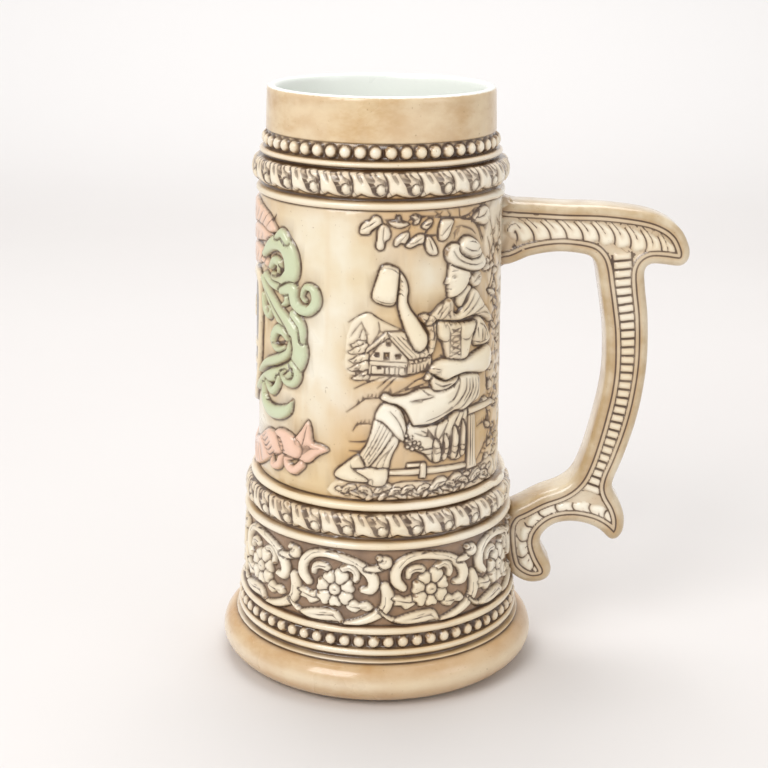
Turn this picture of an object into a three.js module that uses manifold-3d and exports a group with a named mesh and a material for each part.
import * as THREE from 'three';
import { mergeVertices } from 'three/addons/utils/BufferGeometryUtils.js';
import Module from 'manifold-3d';

// A relief beer stein with its handle, fired as one piece. Millimetres, +Z up.
// The axis is Z, the underside is at z = 0 and the handle lies toward +X.
// Angles go round the axis in degrees, from -Y toward +X, so the handle is at 90.

// Heights of the bands, from the underside up
let stacked = 0;
function band(height) {
  const bottom = stacked;
  stacked += height;
  return { bottom, top: stacked, height, at: (share) => bottom + height * share };
}
const foot = band(13.4);
const footGroove = band(2.4);
const footFillet = band(2.2);
const lowerBeads = band(4.2);
const friezeLowRing = band(2.8);
const frieze = band(24.4);
const friezeTopRing = band(2.6);
const lowerLeaves = band(8.8);
const fieldLowRing = band(3.2);
const field = band(88.8);
const fieldTopRing = band(2.4);
const upperLeaves = band(8.8);
const beadRing = band(2.2);
const upperBeads = band(4.8);
const collar = band(14);

// Radii of the bands
const footRadius = 51.2;
const footRounding = 7.2;
const beadBedRadius = 44.4;
const lowRingRadius = 45.4;
const friezeLowRadius = 43.4;
const friezeTopRadius = 42;
const midRingRadius = 43.5;
const lowerLeafRadius = 42.6;
const fieldRingRadius = 41.3;
const fieldLowRadius = 38.8;
const fieldTopRadius = 37.5;
const topRingRadius = 38.4;
const upperLeafRadius = 39;
const beadRingRadius = 37.3;
const collarRadius = 35.1;

// The hollow
const wall = 4.6;
const rimWall = 3.2;
const floorThickness = 9;
const floorRounding = 7;
const lipRounding = 0.9;

// The carving round the body
const grooveDepth = 1.2;
const beadHeight = 1.7;
const lowerBeadCount = 62;
const upperBeadCount = 50;
const leafDepth = 1;
const leafLean = 1.1;
const lowerLeafCount = 25;
const upperLeafCount = 24;
const friezeUnits = 9;
const friezeFirstFlower = 22.5;
const friezeRelief = 1.2;
const figureRelief = 1.5;
const buried = 0.7;

// The handle
const handleReach = 58.2;
const handleThickness = 14;
const handleRounding = 2;
const handleDrop = 2.8;
const handleFootRise = 1.8;
const handleRoot = 2.2;
const notchDepth = 0.8;
const gripNotchHalf = 2.8;
const leafNotchHalf = 3.2;
const leafNotchSlant = 1.6;
const gripNotches = 20;
const leafNotches = 6;

const plainSides = 28;
const hollowSides = 20;
const glaze = new THREE.MeshStandardMaterial({ color: 0xd6bd92, roughness: 0.28, metalness: 0 });

const wasm = await Module();
wasm.setup();

// Meshes as plain lists, turned into solids
function outward(positions, triangles) {
  let volume = 0;
  const [a, b, c] = [new THREE.Vector3(), new THREE.Vector3(), new THREE.Vector3()];
  for (const [i, j, k] of triangles) {
    a.copy(positions[i]);
    b.copy(positions[j]);
    c.copy(positions[k]);
    volume += a.dot(b.cross(c));
  }
  return volume < 0 ? triangles.map(([i, j, k]) => [i, k, j]) : triangles;
}

function solid(positions, triangles) {
  const faces = outward(positions, triangles);
  return new wasm.Manifold(new wasm.Mesh({
    numProp: 3,
    vertProperties: Float32Array.from(positions.flatMap((p) => [p.x, p.y, p.z])),
    triVerts: Uint32Array.from(faces.flat()),
  }));
}

function solidOfGeometry(geometry) {
  geometry.deleteAttribute('normal');
  geometry.deleteAttribute('uv');
  const merged = mergeVertices(geometry);
  return new wasm.Manifold(new wasm.Mesh({
    numProp: 3,
    vertProperties: merged.attributes.position.array,
    triVerts: Uint32Array.from(merged.index.array),
  }));
}

function geometryOfSolid(whole) {
  const mesh = whole.getMesh();
  const geometry = new THREE.BufferGeometry();
  geometry.setAttribute('position', new THREE.BufferAttribute(mesh.vertProperties, 3));
  geometry.setIndex(new THREE.BufferAttribute(mesh.triVerts, 1));
  geometry.computeVertexNormals();
  return geometry;
}

// The body: rings of points stitched from the underside up, over the lip and down the inside
function polar(degrees, radius, z) {
  const turn = THREE.MathUtils.degToRad(degrees);
  return new THREE.Vector3(radius * Math.sin(turn), -radius * Math.cos(turn), z);
}

function ring(z, radius, count = plainSides, first = 0) {
  const radiusAt = typeof radius === 'function' ? radius : () => radius;
  const points = [];
  for (let i = 0; i <= count; i += 1) {
    points.push({ angle: first + (360 * i) / count, radius: radiusAt(i % count), z });
  }
  return points;
}

// A row of beads: one high and one low column a bead
function beadRings(zone, bed, count) {
  const bead = (i) => (i % 2 === 0 ? bed + beadHeight : bed);
  return [
    ring(zone.at(0.06), bed),
    ring(zone.at(0.5), bead, count * 2),
    ring(zone.at(0.94), bed),
  ];
}

// A row of leaning leaves: each has a deep gap, a raised blade and a lower curl
function leafRings(zone, crest, count) {
  const pattern = [0, 1.1, 0.6];
  const cells = pattern.length;
  const level = (share, fullness) => {
    const radius = (i) => crest - leafDepth * (1 - pattern[i % cells] * fullness);
    return ring(zone.at(share), radius, count * cells, (1 - share) * zone.height * leafLean);
  };
  return [
    ring(zone.at(0.04), crest - leafDepth - grooveDepth / 2),
    level(0.3, 0.9),
    level(0.78, 0.9),
    ring(zone.at(0.97), crest - leafDepth - grooveDepth / 2),
  ];
}

function bodyRings() {
  const rimOuter = collarRadius - 0.1;
  const rimInner = rimOuter - rimWall;
  const hollowTop = fieldTopRadius - wall;
  const hollowLow = fieldLowRadius - wall;
  return [
    ring(0, footRadius - footRounding),
    ring(foot.at(0.15), footRadius - footRounding * 0.47),
    ring(foot.at(0.3), footRadius - footRounding * 0.15),
    ring(foot.at(0.5), footRadius),
    ring(foot.at(0.8), footRadius - 1.2),
    ring(foot.top, beadBedRadius + 2),
    ring(footGroove.at(0.5), beadBedRadius + 1),
    ring(footFillet.at(0.2), lowRingRadius + 0.4),
    ...beadRings(lowerBeads, beadBedRadius, lowerBeadCount),
    ring(friezeLowRing.at(0.4), lowRingRadius),
    ring(frieze.bottom, friezeLowRadius),
    ring(frieze.top, friezeTopRadius),
    ring(friezeTopRing.at(0.15), midRingRadius),
    ring(friezeTopRing.at(0.85), midRingRadius - 0.2),
    ...leafRings(lowerLeaves, lowerLeafRadius, lowerLeafCount),
    ring(fieldLowRing.at(0.1), fieldRingRadius),
    ring(fieldLowRing.at(0.8), fieldRingRadius - 0.2),
    ring(field.bottom, fieldLowRadius),
    ring(field.top, fieldTopRadius),
    ring(fieldTopRing.at(0.15), topRingRadius),
    ring(fieldTopRing.at(0.9), topRingRadius - 0.2),
    ...leafRings(upperLeaves, upperLeafRadius, upperLeafCount),
    ring(beadRing.at(0.4), beadRingRadius),
    ...beadRings(upperBeads, collarRadius - 0.2, upperBeadCount),
    ring(collar.at(0.05), collarRadius + 0.2),
    ring(collar.top - lipRounding * 2, rimOuter),
    ring(collar.top - lipRounding * 0.6, rimOuter - lipRounding * 0.5),
    ring(collar.top, rimOuter - rimWall / 2),
    ring(collar.top - lipRounding, rimInner, hollowSides),
    ring(field.top, hollowTop, hollowSides),
    ring(field.bottom, hollowLow, hollowSides),
    ring(floorThickness + floorRounding, hollowLow, hollowSides),
    ring(floorThickness, hollowLow - floorRounding, hollowSides),
  ];
}

function stitched(rings) {
  const positions = [new THREE.Vector3(0, 0, rings[0][0].z)];
  const starts = [];
  const triangles = [];
  for (const points of rings) {
    starts.push(positions.length);
    for (const p of points.slice(0, -1)) positions.push(polar(p.angle, p.radius, p.z));
  }
  const vertex = (row, i) => starts[row] + (i % (rings[row].length - 1));
  for (let i = 0; i < rings[0].length - 1; i += 1) {
    triangles.push([0, vertex(0, i + 1), vertex(0, i)]);
  }
  for (let row = 0; row + 1 < rings.length; row += 1) {
    const [low, high] = [rings[row], rings[row + 1]];
    let i = 0;
    let j = 0;
    while (i < low.length - 1 || j < high.length - 1) {
      const lowNext = i < low.length - 1 ? low[i + 1].angle + low[i].angle : Infinity;
      const highNext = j < high.length - 1 ? high[j + 1].angle + high[j].angle : Infinity;
      if (lowNext <= highNext) {
        triangles.push([vertex(row, i), vertex(row, i + 1), vertex(row + 1, j)]);
        i += 1;
      } else {
        triangles.push([vertex(row, i), vertex(row + 1, j + 1), vertex(row + 1, j)]);
        j += 1;
      }
    }
  }
  const last = rings.length - 1;
  positions.push(new THREE.Vector3(0, 0, rings[last][0].z));
  for (let i = 0; i < rings[last].length - 1; i += 1) {
    triangles.push([vertex(last, i), vertex(last, i + 1), positions.length - 1]);
  }
  return solid(positions, triangles);
}

// Relief on the wall, drawn in degrees round and millimetres up
function wallRadius(z) {
  const zone = z < frieze.top ? frieze : field;
  const [low, top] = zone === frieze
    ? [friezeLowRadius, friezeTopRadius] : [fieldLowRadius, fieldTopRadius];
  return THREE.MathUtils.lerp(low, top, THREE.MathUtils.clamp((z - zone.bottom) / zone.height, 0, 1));
}

function degreesPerMillimetre(z) {
  return 180 / Math.PI / wallRadius(z);
}

function onWall([angle, z], lift) {
  return polar(angle, wallRadius(z) + lift, z);
}

function middleOf(outline) {
  return [0, 1].map((k) => outline.reduce((sum, p) => sum + p[k], 0) / outline.length);
}

function scaledAbout(middle, outline, share) {
  return outline.map((p) => p.map((value, k) => THREE.MathUtils.lerp(middle[k], value, share)));
}

// A mound: its foot is sunk in the wall, so that it meets the wall on its outline
function mound(outline, lift, inner = 0.76) {
  const count = outline.length;
  const middle = middleOf(outline);
  const shoulder = lift * 0.85;
  const foot = scaledAbout(middle, outline, 1 + ((1 - inner) * buried) / shoulder);
  const positions = [
    ...foot.map((p) => onWall(p, -buried)),
    ...scaledAbout(middle, outline, inner).map((p) => onWall(p, shoulder)),
    onWall(middle, -buried),
    onWall(middle, lift),
  ];
  const triangles = [];
  for (let i = 0; i < count; i += 1) {
    const next = (i + 1) % count;
    triangles.push([i, next, count + next], [i, count + next, count + i]);
    triangles.push([count + i, count + next, 2 * count + 1], [next, i, 2 * count]);
  }
  return solid(positions, triangles);
}

// A small cone on an outline, for petals, leaves and buds
function cone(outline, lift) {
  const count = outline.length;
  const middle = middleOf(outline);
  const foot = scaledAbout(middle, outline, 1 + buried / lift);
  const positions = [...foot.map((p) => onWall(p, -buried)), onWall(middle, -buried), onWall(middle, lift)];
  const triangles = outline.flatMap((p, i) => {
    const next = (i + 1) % count;
    return [[i, next, count + 1], [next, i, count]];
  });
  return solid(positions, triangles);
}

// A ridge along a smooth path of [angle, z, width] points
function ridge(path, lift, steps) {
  const curve = new THREE.CatmullRomCurve3(path.map((p) => new THREE.Vector3(...p)));
  const points = curve.getPoints(steps);
  const positions = [];
  const triangles = [];
  points.forEach((p, i) => {
    const before = points[Math.max(i - 1, 0)];
    const after = points[Math.min(i + 1, points.length - 1)];
    const perMillimetre = degreesPerMillimetre(p.y);
    const along = new THREE.Vector2((after.x - before.x) / perMillimetre, after.y - before.y).normalize();
    const width = p.z * (1 + buried / lift);
    const side = [(-along.y * width * perMillimetre) / 2, (along.x * width) / 2];
    positions.push(onWall([p.x + side[0], p.y + side[1]], -buried));
    positions.push(onWall([p.x - side[0], p.y - side[1]], -buried));
    positions.push(onWall([p.x, p.y], lift));
    if (i > 0) {
      const [a, b] = [3 * (i - 1), 3 * i];
      for (const [m, n] of [[0, 2], [2, 1], [1, 0]]) {
        triangles.push([a + m, b + m, b + n], [a + m, b + n, a + n]);
      }
    }
  });
  const end = positions.length - 3;
  triangles.push([0, 2, 1], [end, end + 1, end + 2]);
  return solid(positions, triangles);
}

function oval(angle, z, across, up, tilt = 0, count = 6) {
  const lean = THREE.MathUtils.degToRad(tilt);
  return Array.from({ length: count }, (_, i) => {
    const turn = (2 * Math.PI * i) / count;
    const [x, y] = [across * Math.cos(turn), up * Math.sin(turn)];
    const u = x * Math.cos(lean) - y * Math.sin(lean);
    return [angle + u * degreesPerMillimetre(z), z + x * Math.sin(lean) + y * Math.cos(lean)];
  });
}

function star(angle, z, tips, outer, innerRadius) {
  return Array.from({ length: tips * 2 }, (_, i) => {
    const radius = i % 2 === 0 ? outer : innerRadius;
    const turn = (Math.PI * i) / tips + 0.3;
    return [angle + radius * Math.cos(turn) * degreesPerMillimetre(z), z + radius * Math.sin(turn)];
  });
}

// A leaf from its stalk, with its direction in degrees from the horizontal
function leaf(angle, z, length, width, direction) {
  const lean = THREE.MathUtils.degToRad(direction);
  const sides = [[0, 0], [0.45, -0.5], [1, 0], [0.45, 0.5]];
  return sides.map(([t, w]) => {
    const [x, y] = [t * length, w * width];
    const u = x * Math.cos(lean) - y * Math.sin(lean);
    return [angle + u * degreesPerMillimetre(z), z + x * Math.sin(lean) + y * Math.cos(lean)];
  });
}

// A limb or a bar between two [angle, z, width] ends: a roof with hipped ends
function limb(start, end, lift = figureRelief) {
  const perMillimetre = degreesPerMillimetre((start[1] + end[1]) / 2);
  const along = new THREE.Vector2((end[0] - start[0]) / perMillimetre, end[1] - start[1]).normalize();
  const spread = 1 + buried / lift;
  const corner = ([angle, z, width], forward, side) => [
    angle + ((along.x * forward - along.y * side) * width * spread * perMillimetre) / 2,
    z + ((along.y * forward + along.x * side) * width * spread) / 2,
  ];
  const positions = [
    ...[corner(start, -0.6, 1), corner(start, -0.6, -1), corner(end, 0.6, -1), corner(end, 0.6, 1)]
      .map((p) => onWall(p, -buried)),
    onWall(start, lift),
    onWall(end, lift),
  ];
  return solid(positions, [[0, 1, 4], [1, 2, 5], [1, 5, 4], [2, 3, 5], [3, 0, 4], [3, 4, 5], [0, 3, 2],
    [0, 2, 1]]);
}

// Frieze: nine flowers, each under a C scroll, with leaves and an S scroll to the next
function friezeUnit(centre) {
  const height = (millimetres) => frieze.at(millimetres / 24.4);
  const path = (points) => points.map(([x, up, width]) => [centre + x, height(up), width]);
  const arch = [[-11, 12.3, 3], [-14.8, 15, 3.2], [-12.5, 20, 2.8], [-3.5, 22.4, 2.4], [6.5, 20.7, 2.4],
    [13.5, 17.6, 2.8], [15.4, 14.2, 3], [12.5, 12.2, 2.2]];
  const sweep = [[20.6, 12.6, 3.6], [21.4, 9, 3.4], [18.5, 5, 2.6], [11, 1.9, 2], [4.5, 0.9, 1]];
  const wave = [[-20.5, 3.4, 1.2], [-13, 1.6, 2.2], [-5, 2.6, 3.2], [3, 1.6, 1.4]];
  return [
    ridge(path(arch), friezeRelief, 6),
    ridge(path(sweep), friezeRelief, 3),
    ridge(path(wave), friezeRelief, 3),
    cone(oval(centre + 20, height(20.6), 2, 2, 0, 4), friezeRelief),
    cone(star(centre, height(11), 6, 4.6, 2.7), friezeRelief),
    cone(oval(centre, height(11), 1.8, 1.8, 0, 4), friezeRelief + 0.6),
    cone(leaf(centre - 6, height(7.8), 8, 5, 186), friezeRelief),
    cone(leaf(centre + 5.5, height(8), 8, 5, -12), friezeRelief),
    cone(leaf(centre + 3.6, height(15.4), 6, 4, 40), friezeRelief),
  ];
}

// Height in the picture field, from its 88.8 mm as drawn
function up(millimetres) {
  return field.at(millimetres / 88.8);
}

function at(points) {
  return points.map(([angle, z, ...rest]) => [angle, up(z), ...rest]);
}

function bar(start, end, lift) {
  return limb(...at([start, end]), lift);
}

// The seated drinker with a raised tankard
function drinker() {
  const tankard = at([[-3.2, 62.4], [6.6, 60.8], [8.6, 70.9], [7, 72.4], [1.6, 73.1], [0.2, 72]]);
  const apron = at([[1, 31], [9, 32.6], [22, 36.4], [38, 37.6], [51, 35.5], [53, 28], [44, 26], [30, 24],
    [17, 22.6], [11, 27]]);
  const skirt = at([[13, 19], [22, 24.6], [31, 26], [44, 28.6], [50, 28], [44, 15], [33, 13.4], [22, 13]]);
  const pleats = [[37, 18], [43, 30]];
  return [
    mound(tankard.reverse(), figureRelief + 0.3, 0.82),
    bar([11, 64, 3], [12.6, 68, 1.6]),
    bar([10.6, 66.4, 3.6], [19.6, 48.6, 5]),
    mound(oval(22.6, up(53.4), 3.2, 4.6, 10), figureRelief),
    mound(oval(39, up(66.8), 5.6, 6, 8), figureRelief + 0.3),
    cone(oval(48.6, up(66), 2.6, 3, 0, 6), figureRelief),
    mound(oval(41.6, up(73), 8.6, 2.3, -17), figureRelief + 0.4),
    mound(oval(43.6, up(76.4), 5, 3.2, -14), figureRelief + 0.6),
    mound(oval(41, up(58.8), 6, 3.4, -6), figureRelief),
    bar([22, 57, 4], [35, 59.6, 5]),
    bar([44, 60.6, 5.4], [56, 55, 5]),
    mound(oval(37.4, up(48.6), 7.4, 6.6, -6), figureRelief + 0.4),
    mound(oval(52, up(50.4), 4.4, 6, 12), figureRelief + 0.2),
    ridge(at([[58, 41, 5.6], [43, 40.4, 5], [28, 40.8, 4]]), figureRelief + 0.6, 3),
    cone(oval(24.6, up(39.4), 2.4, 2.2, 0, 6), figureRelief + 0.5),
    mound(apron.reverse(), figureRelief, 0.8),
    mound(skirt.reverse(), figureRelief * 0.7, 0.85),
    ...pleats.map(([low, high]) => bar([low, 17.6, 2.6], [high, 30, 2], figureRelief + 0.1)),
    ridge(at([[11, 17, 2], [22, 15, 2.6], [32, 13.6, 2.4], [44, 14, 2.6]]), figureRelief, 6),
    bar([4.4, 25, 8], [-6, 12.6, 4.2]),
    bar([8, 19.6, 4], [0.6, 11, 3]),
    bar([-16, 8.2, 3.4], [2, 7.6, 5]),
    bar([48, 7.4, 2.8], [47.4, 24.8, 3]),
    bar([43, 25.4, 2], [60, 25.8, 2]),
    ridge(at([[8, 9.2, 1.6], [26, 9.6, 1.6], [43, 10, 1.6]]), figureRelief, 4),
  ];
}

// A chalet under mountains, with a fir, a fence and a field
function landscape() {
  const wallPlan = at([[-4, 39.6], [12, 39], [12.4, 44.4], [3.6, 51.4], [-5, 44.6]]);
  const roof = at([[3, 52.6], [10.4, 52.4], [22.6, 46.4], [14, 44.2]]);
  const tiers = [[55, 4], [49, 6]];
  return [
    mound(wallPlan, 0.9, 0.85),
    mound(roof.reverse(), figureRelief, 0.85),
    bar([3, 52.4, 1.6], [-5.6, 46.6, 1.6], figureRelief),
    bar([-4, 43.4, 1.2], [24, 42.6, 1.2], figureRelief),
    ridge(at([[-11, 40, 1.2], [0, 39.4, 1.2], [12, 39, 1.2]]), 1, 2),
    ...tiers.map(([z, width]) => cone(at([[-8.6 - width * 0.8, z - 5], [-8.6 + width * 0.8, z - 5],
      [-8.6, z]]), 1.2)),
    ridge(at([[-17, 54, 1], [-5, 58.8, 1.6], [11, 53.4, 1]]), 0.9, 4),
    bar([-14, 34, 0.9], [4, 39.4, 0.9], 0.9),
    bar([-14, 27.6, 1], [0, 32.6, 1], 0.9),
  ];
}

// A branch over the picture and the ground under it
function branchAndGround() {
  const ground = [[-20, 2.4, 4], [-6, 3, 5.4], [14, 3.6, 5.6], [32, 3.2, 5], [50, 3.8, 6.4], [66, 3.4, 6]];
  return [
    ridge(at([[1, 85.6, 1.2], [20, 86.4, 1.4], [40, 84.8, 2], [58, 87, 3]]), 1.2, 5),
    ridge(at(ground), 1.2, 6),
  ];
}

// The branch's leaves, and bushes behind the bench
function leavesAndBushes() {
  const leaves = [[0, 86, 7, 195], [1, 84.6, 7, -95], [12, 84, 7, -130], [20, 82, 7.6, 200], [21, 81, 6, -55],
    [30, 85, 6, -110], [47, 84, 7, -40]];
  const bushes = [[60, 56, 5, 8], [64, 36, 5, 10], [67, 16, 4, 7]];
  return [
    ...leaves.map(([angle, z, length, direction]) => cone(leaf(angle, up(z), length, 4, direction), 1.2)),
    ...bushes.map(([angle, z, across, tall]) => cone(oval(angle, up(z), across, tall), 1.2)),
  ];
}

// Half of the coat of arms: its shield, mantling and ribbon, with the middle opposite the handle
function armsHalf(mirror) {
  const half = (angle) => (mirror ? -180 - angle : angle);
  const path = (points) => at(points).map(([angle, z, ...rest]) => [half(angle), z, ...rest]);
  const scrolls = [
    [[-58, 72.6, 3], [-46, 73, 5], [-43, 66, 4], [-54, 64.6, 3], [-54, 69, 1.6]],
    [[-64, 65, 3], [-48, 58, 3], [-32, 58, 4], [-33, 64, 2.6], [-37, 61, 1.4]],
    [[-64, 62, 3], [-43, 51, 6], [-43, 39, 5], [-74, 31, 3]],
    [[-47, 46, 3], [-56, 47, 4.4], [-48, 43, 2.4]],
    [[-45, 41, 2.2], [-41.4, 36, 2.6], [-48, 33.4, 1.4]],
    [[-66, 60, 2.4], [-62, 52.6, 2.6], [-60, 56, 1.2]],
    [[-44, 28.4, 2], [-56, 24.2, 4.6], [-66, 27, 2]],
  ];
  const ribbon = [[-24, 15, 2], [-34, 18.4, 9], [-42, 13.6, 8], [-50, 13.4, 10], [-58, 11, 10],
    [-74, 5.4, 9], [-90, 4.4, 9]];
  const plume = [[-88, 74, 8], [-74, 78, 9], [-62, 79.6, 7], [-55, 80.4, 2.4]];
  return [
    ...scrolls.map((points) => ridge(path(points), figureRelief, points.length)),
    ridge(path(ribbon), 1.1, 7),
    ridge(path(plume), 1.3, 4),
  ];
}

function shield() {
  const outline = at([[-105, 62], [-107, 42], [-101, 27], [-90, 20], [-79, 27], [-73, 42], [-75, 62]]);
  const panel = at([[-102, 58], [-103, 43], [-98, 31], [-90, 25.6], [-82, 31], [-77, 43], [-78, 58]]);
  const border = mound(outline.reverse(), 1.4, 0.9);
  return border.subtract(mound(panel.reverse(), 2.4, 0.97).subtract(stitched(sunkenPanelBed())));
}

// The bed of the shield's panel, a little above the wall
function sunkenPanelBed() {
  const bed = 0.5;
  return [ring(field.bottom, fieldLowRadius + bed), ring(field.top, fieldTopRadius + bed)];
}

// A solid on the other side of the plane through the axis and the handle
function mirrored(whole) {
  const mesh = whole.getMesh();
  const positions = [];
  const triangles = [];
  for (let i = 0; i < mesh.vertProperties.length; i += 3) {
    const [x, y, z] = mesh.vertProperties.slice(i, i + 3);
    positions.push(new THREE.Vector3(x, -y, z));
  }
  for (let i = 0; i < mesh.triVerts.length; i += 3) {
    triangles.push([mesh.triVerts[i], mesh.triVerts[i + 2], mesh.triVerts[i + 1]]);
  }
  return solid(positions, triangles);
}

// The handle: a flat outline with rounded edges, notched on both faces
const handleTop = field.top - handleDrop;
const handleFoot = frieze.bottom - handleFootRise;
const handleStart = (fieldLowRadius + fieldTopRadius) / 2;

function handlePoint([out, rise]) {
  return new THREE.Vector2(
    handleStart + (handleReach * out) / 100,
    THREE.MathUtils.lerp(handleFoot, handleTop, rise / 100),
  );
}

// Shares of the reach and of the height, clockwise from the top of the root
const handleBack = [[7.4, 100], [31.3, 99.5], [52.7, 99.3], [74.6, 98.1], [86.6, 96.3], [94.3, 93.7],
  [98.6, 90.4], [100, 87.7], [98.6, 85.6], [94.5, 84.5], [85.9, 84.9], [79.4, 84.9], [76.5, 83.3],
  [77.1, 79.2], [79.6, 71.3], [80.6, 60.7], [78.9, 51.1], [75.4, 42.6], [69.9, 34], [65.8, 28.7],
  [65.8, 25.9], [70.3, 22.2], [72.9, 18.5], [72.7, 14.8], [69.6, 12.6], [65.3, 12.4]];
const handleUnder = [[59.5, 14.8], [52.4, 16.4], [43, 17.1], [34.4, 16.4], [28.5, 14.3], [26.3, 11.8],
  [28.5, 8.4], [32.5, 5], [32.6, 2.4], [29, 0.6], [22.3, 0], [16, 0.8], [12, 2.4]];
const handleInner = [[15.8, 22.1], [25.1, 24.5], [36.1, 26.5], [43, 29.1], [47.4, 33.3], [51.4, 39.8],
  [54.6, 46.4], [57, 52.8], [57.9, 59.1], [57, 67.4], [54.8, 74.1], [52.6, 79.6], [50.9, 83.6],
  [48.6, 85.9], [43.8, 87.2], [29.6, 87.8], [14.6, 86.7]];

function handleOutline() {
  const inWall = (rise) => {
    const { y } = handlePoint([0, rise]);
    return new THREE.Vector2(wallRadius(y) - handleRoot, y);
  };
  return [
    ...handleBack.map(handlePoint),
    ...handleUnder.map(handlePoint),
    inWall(4.6),
    inWall(20.4),
    ...handleInner.map(handlePoint),
    inWall(84.6),
    inWall(99.6),
  ];
}

// A cutter whose inner side runs in and out of a face of the handle, so that it leaves notches
function notches(path, halfWidth, count, slant) {
  const curve = new THREE.SplineCurve(path.map(handlePoint));
  const outside = handleThickness / 2 + 1;
  const crest = handleThickness / 2 - notchDepth * 0.15;
  const positions = [];
  const triangles = [];
  const steps = count * 2;
  for (let k = 0; k <= steps; k += 1) {
    const share = k / steps;
    const centre = curve.getPointAt(share);
    const along = curve.getTangentAt(share);
    const depth = k % 2 === 0 ? crest : handleThickness / 2 - notchDepth;
    for (const side of [1, -1]) {
      const x = centre.x + side * (-along.y * halfWidth + along.x * slant);
      const z = centre.y + side * (along.x * halfWidth + along.y * slant);
      positions.push(new THREE.Vector3(x, -outside, z), new THREE.Vector3(x, -depth, z));
    }
    if (k > 0) {
      const [a, b] = [4 * (k - 1), 4 * k];
      for (const [m, n] of [[0, 1], [1, 3], [3, 2], [2, 0]]) {
        triangles.push([a + m, b + m, b + n], [a + m, b + n, a + n]);
      }
    }
  }
  const end = positions.length - 4;
  triangles.push([0, 1, 3], [0, 3, 2], [end, end + 3, end + 1], [end, end + 2, end + 3]);
  return solid(positions, triangles);
}

function handle() {
  const depth = handleThickness - 2 * handleRounding;
  const blank = new THREE.ExtrudeGeometry(new THREE.Shape(handleOutline()), {
    depth,
    bevelEnabled: true,
    bevelThickness: handleRounding,
    bevelSize: handleRounding,
    bevelOffset: -handleRounding,
    bevelSegments: 1,
  });
  blank.rotateX(Math.PI / 2);
  blank.translate(0, depth / 2, 0);
  const beam = [[9, 93], [29.2, 93.2], [51.5, 92.9], [72.2, 91.2], [88, 88.4]];
  const grip = [[63.4, 84.5], [64.8, 80], [68, 71.2], [69.6, 61.8], [68.7, 52.3], [66.2, 44.9],
    [63.1, 39.3], [57.2, 31.2], [53.6, 26.6]];
  const cuts = [
    notches(beam, leafNotchHalf, leafNotches, leafNotchSlant),
    notches(grip, gripNotchHalf, gripNotches, 0),
  ];
  return [...cuts, ...cuts.map(mirrored)].reduce((body, cut) => body.subtract(cut), solidOfGeometry(blank));
}

// The whole stein
const quietPicture = [...landscape(), ...branchAndGround()];
const picture = [...quietPicture, ...leavesAndBushes(), ...drinker()];
const friezeRow = Array.from({ length: friezeUnits }, (_, i) =>
  friezeUnit(friezeFirstFlower + (360 * i) / friezeUnits)).flat();
const carving = [...friezeRow, ...picture, ...quietPicture.map(mirrored), ...armsHalf(false),
  ...armsHalf(true), shield()];
const whole = [...carving, handle()].reduce((body, piece) => body.add(piece), stitched(bodyRings()));

const stein = new THREE.Mesh(geometryOfSolid(whole), glaze);
stein.name = 'stein';

const model = new THREE.Group();
model.name = 'relief_stein';
model.add(stein);

export default model;
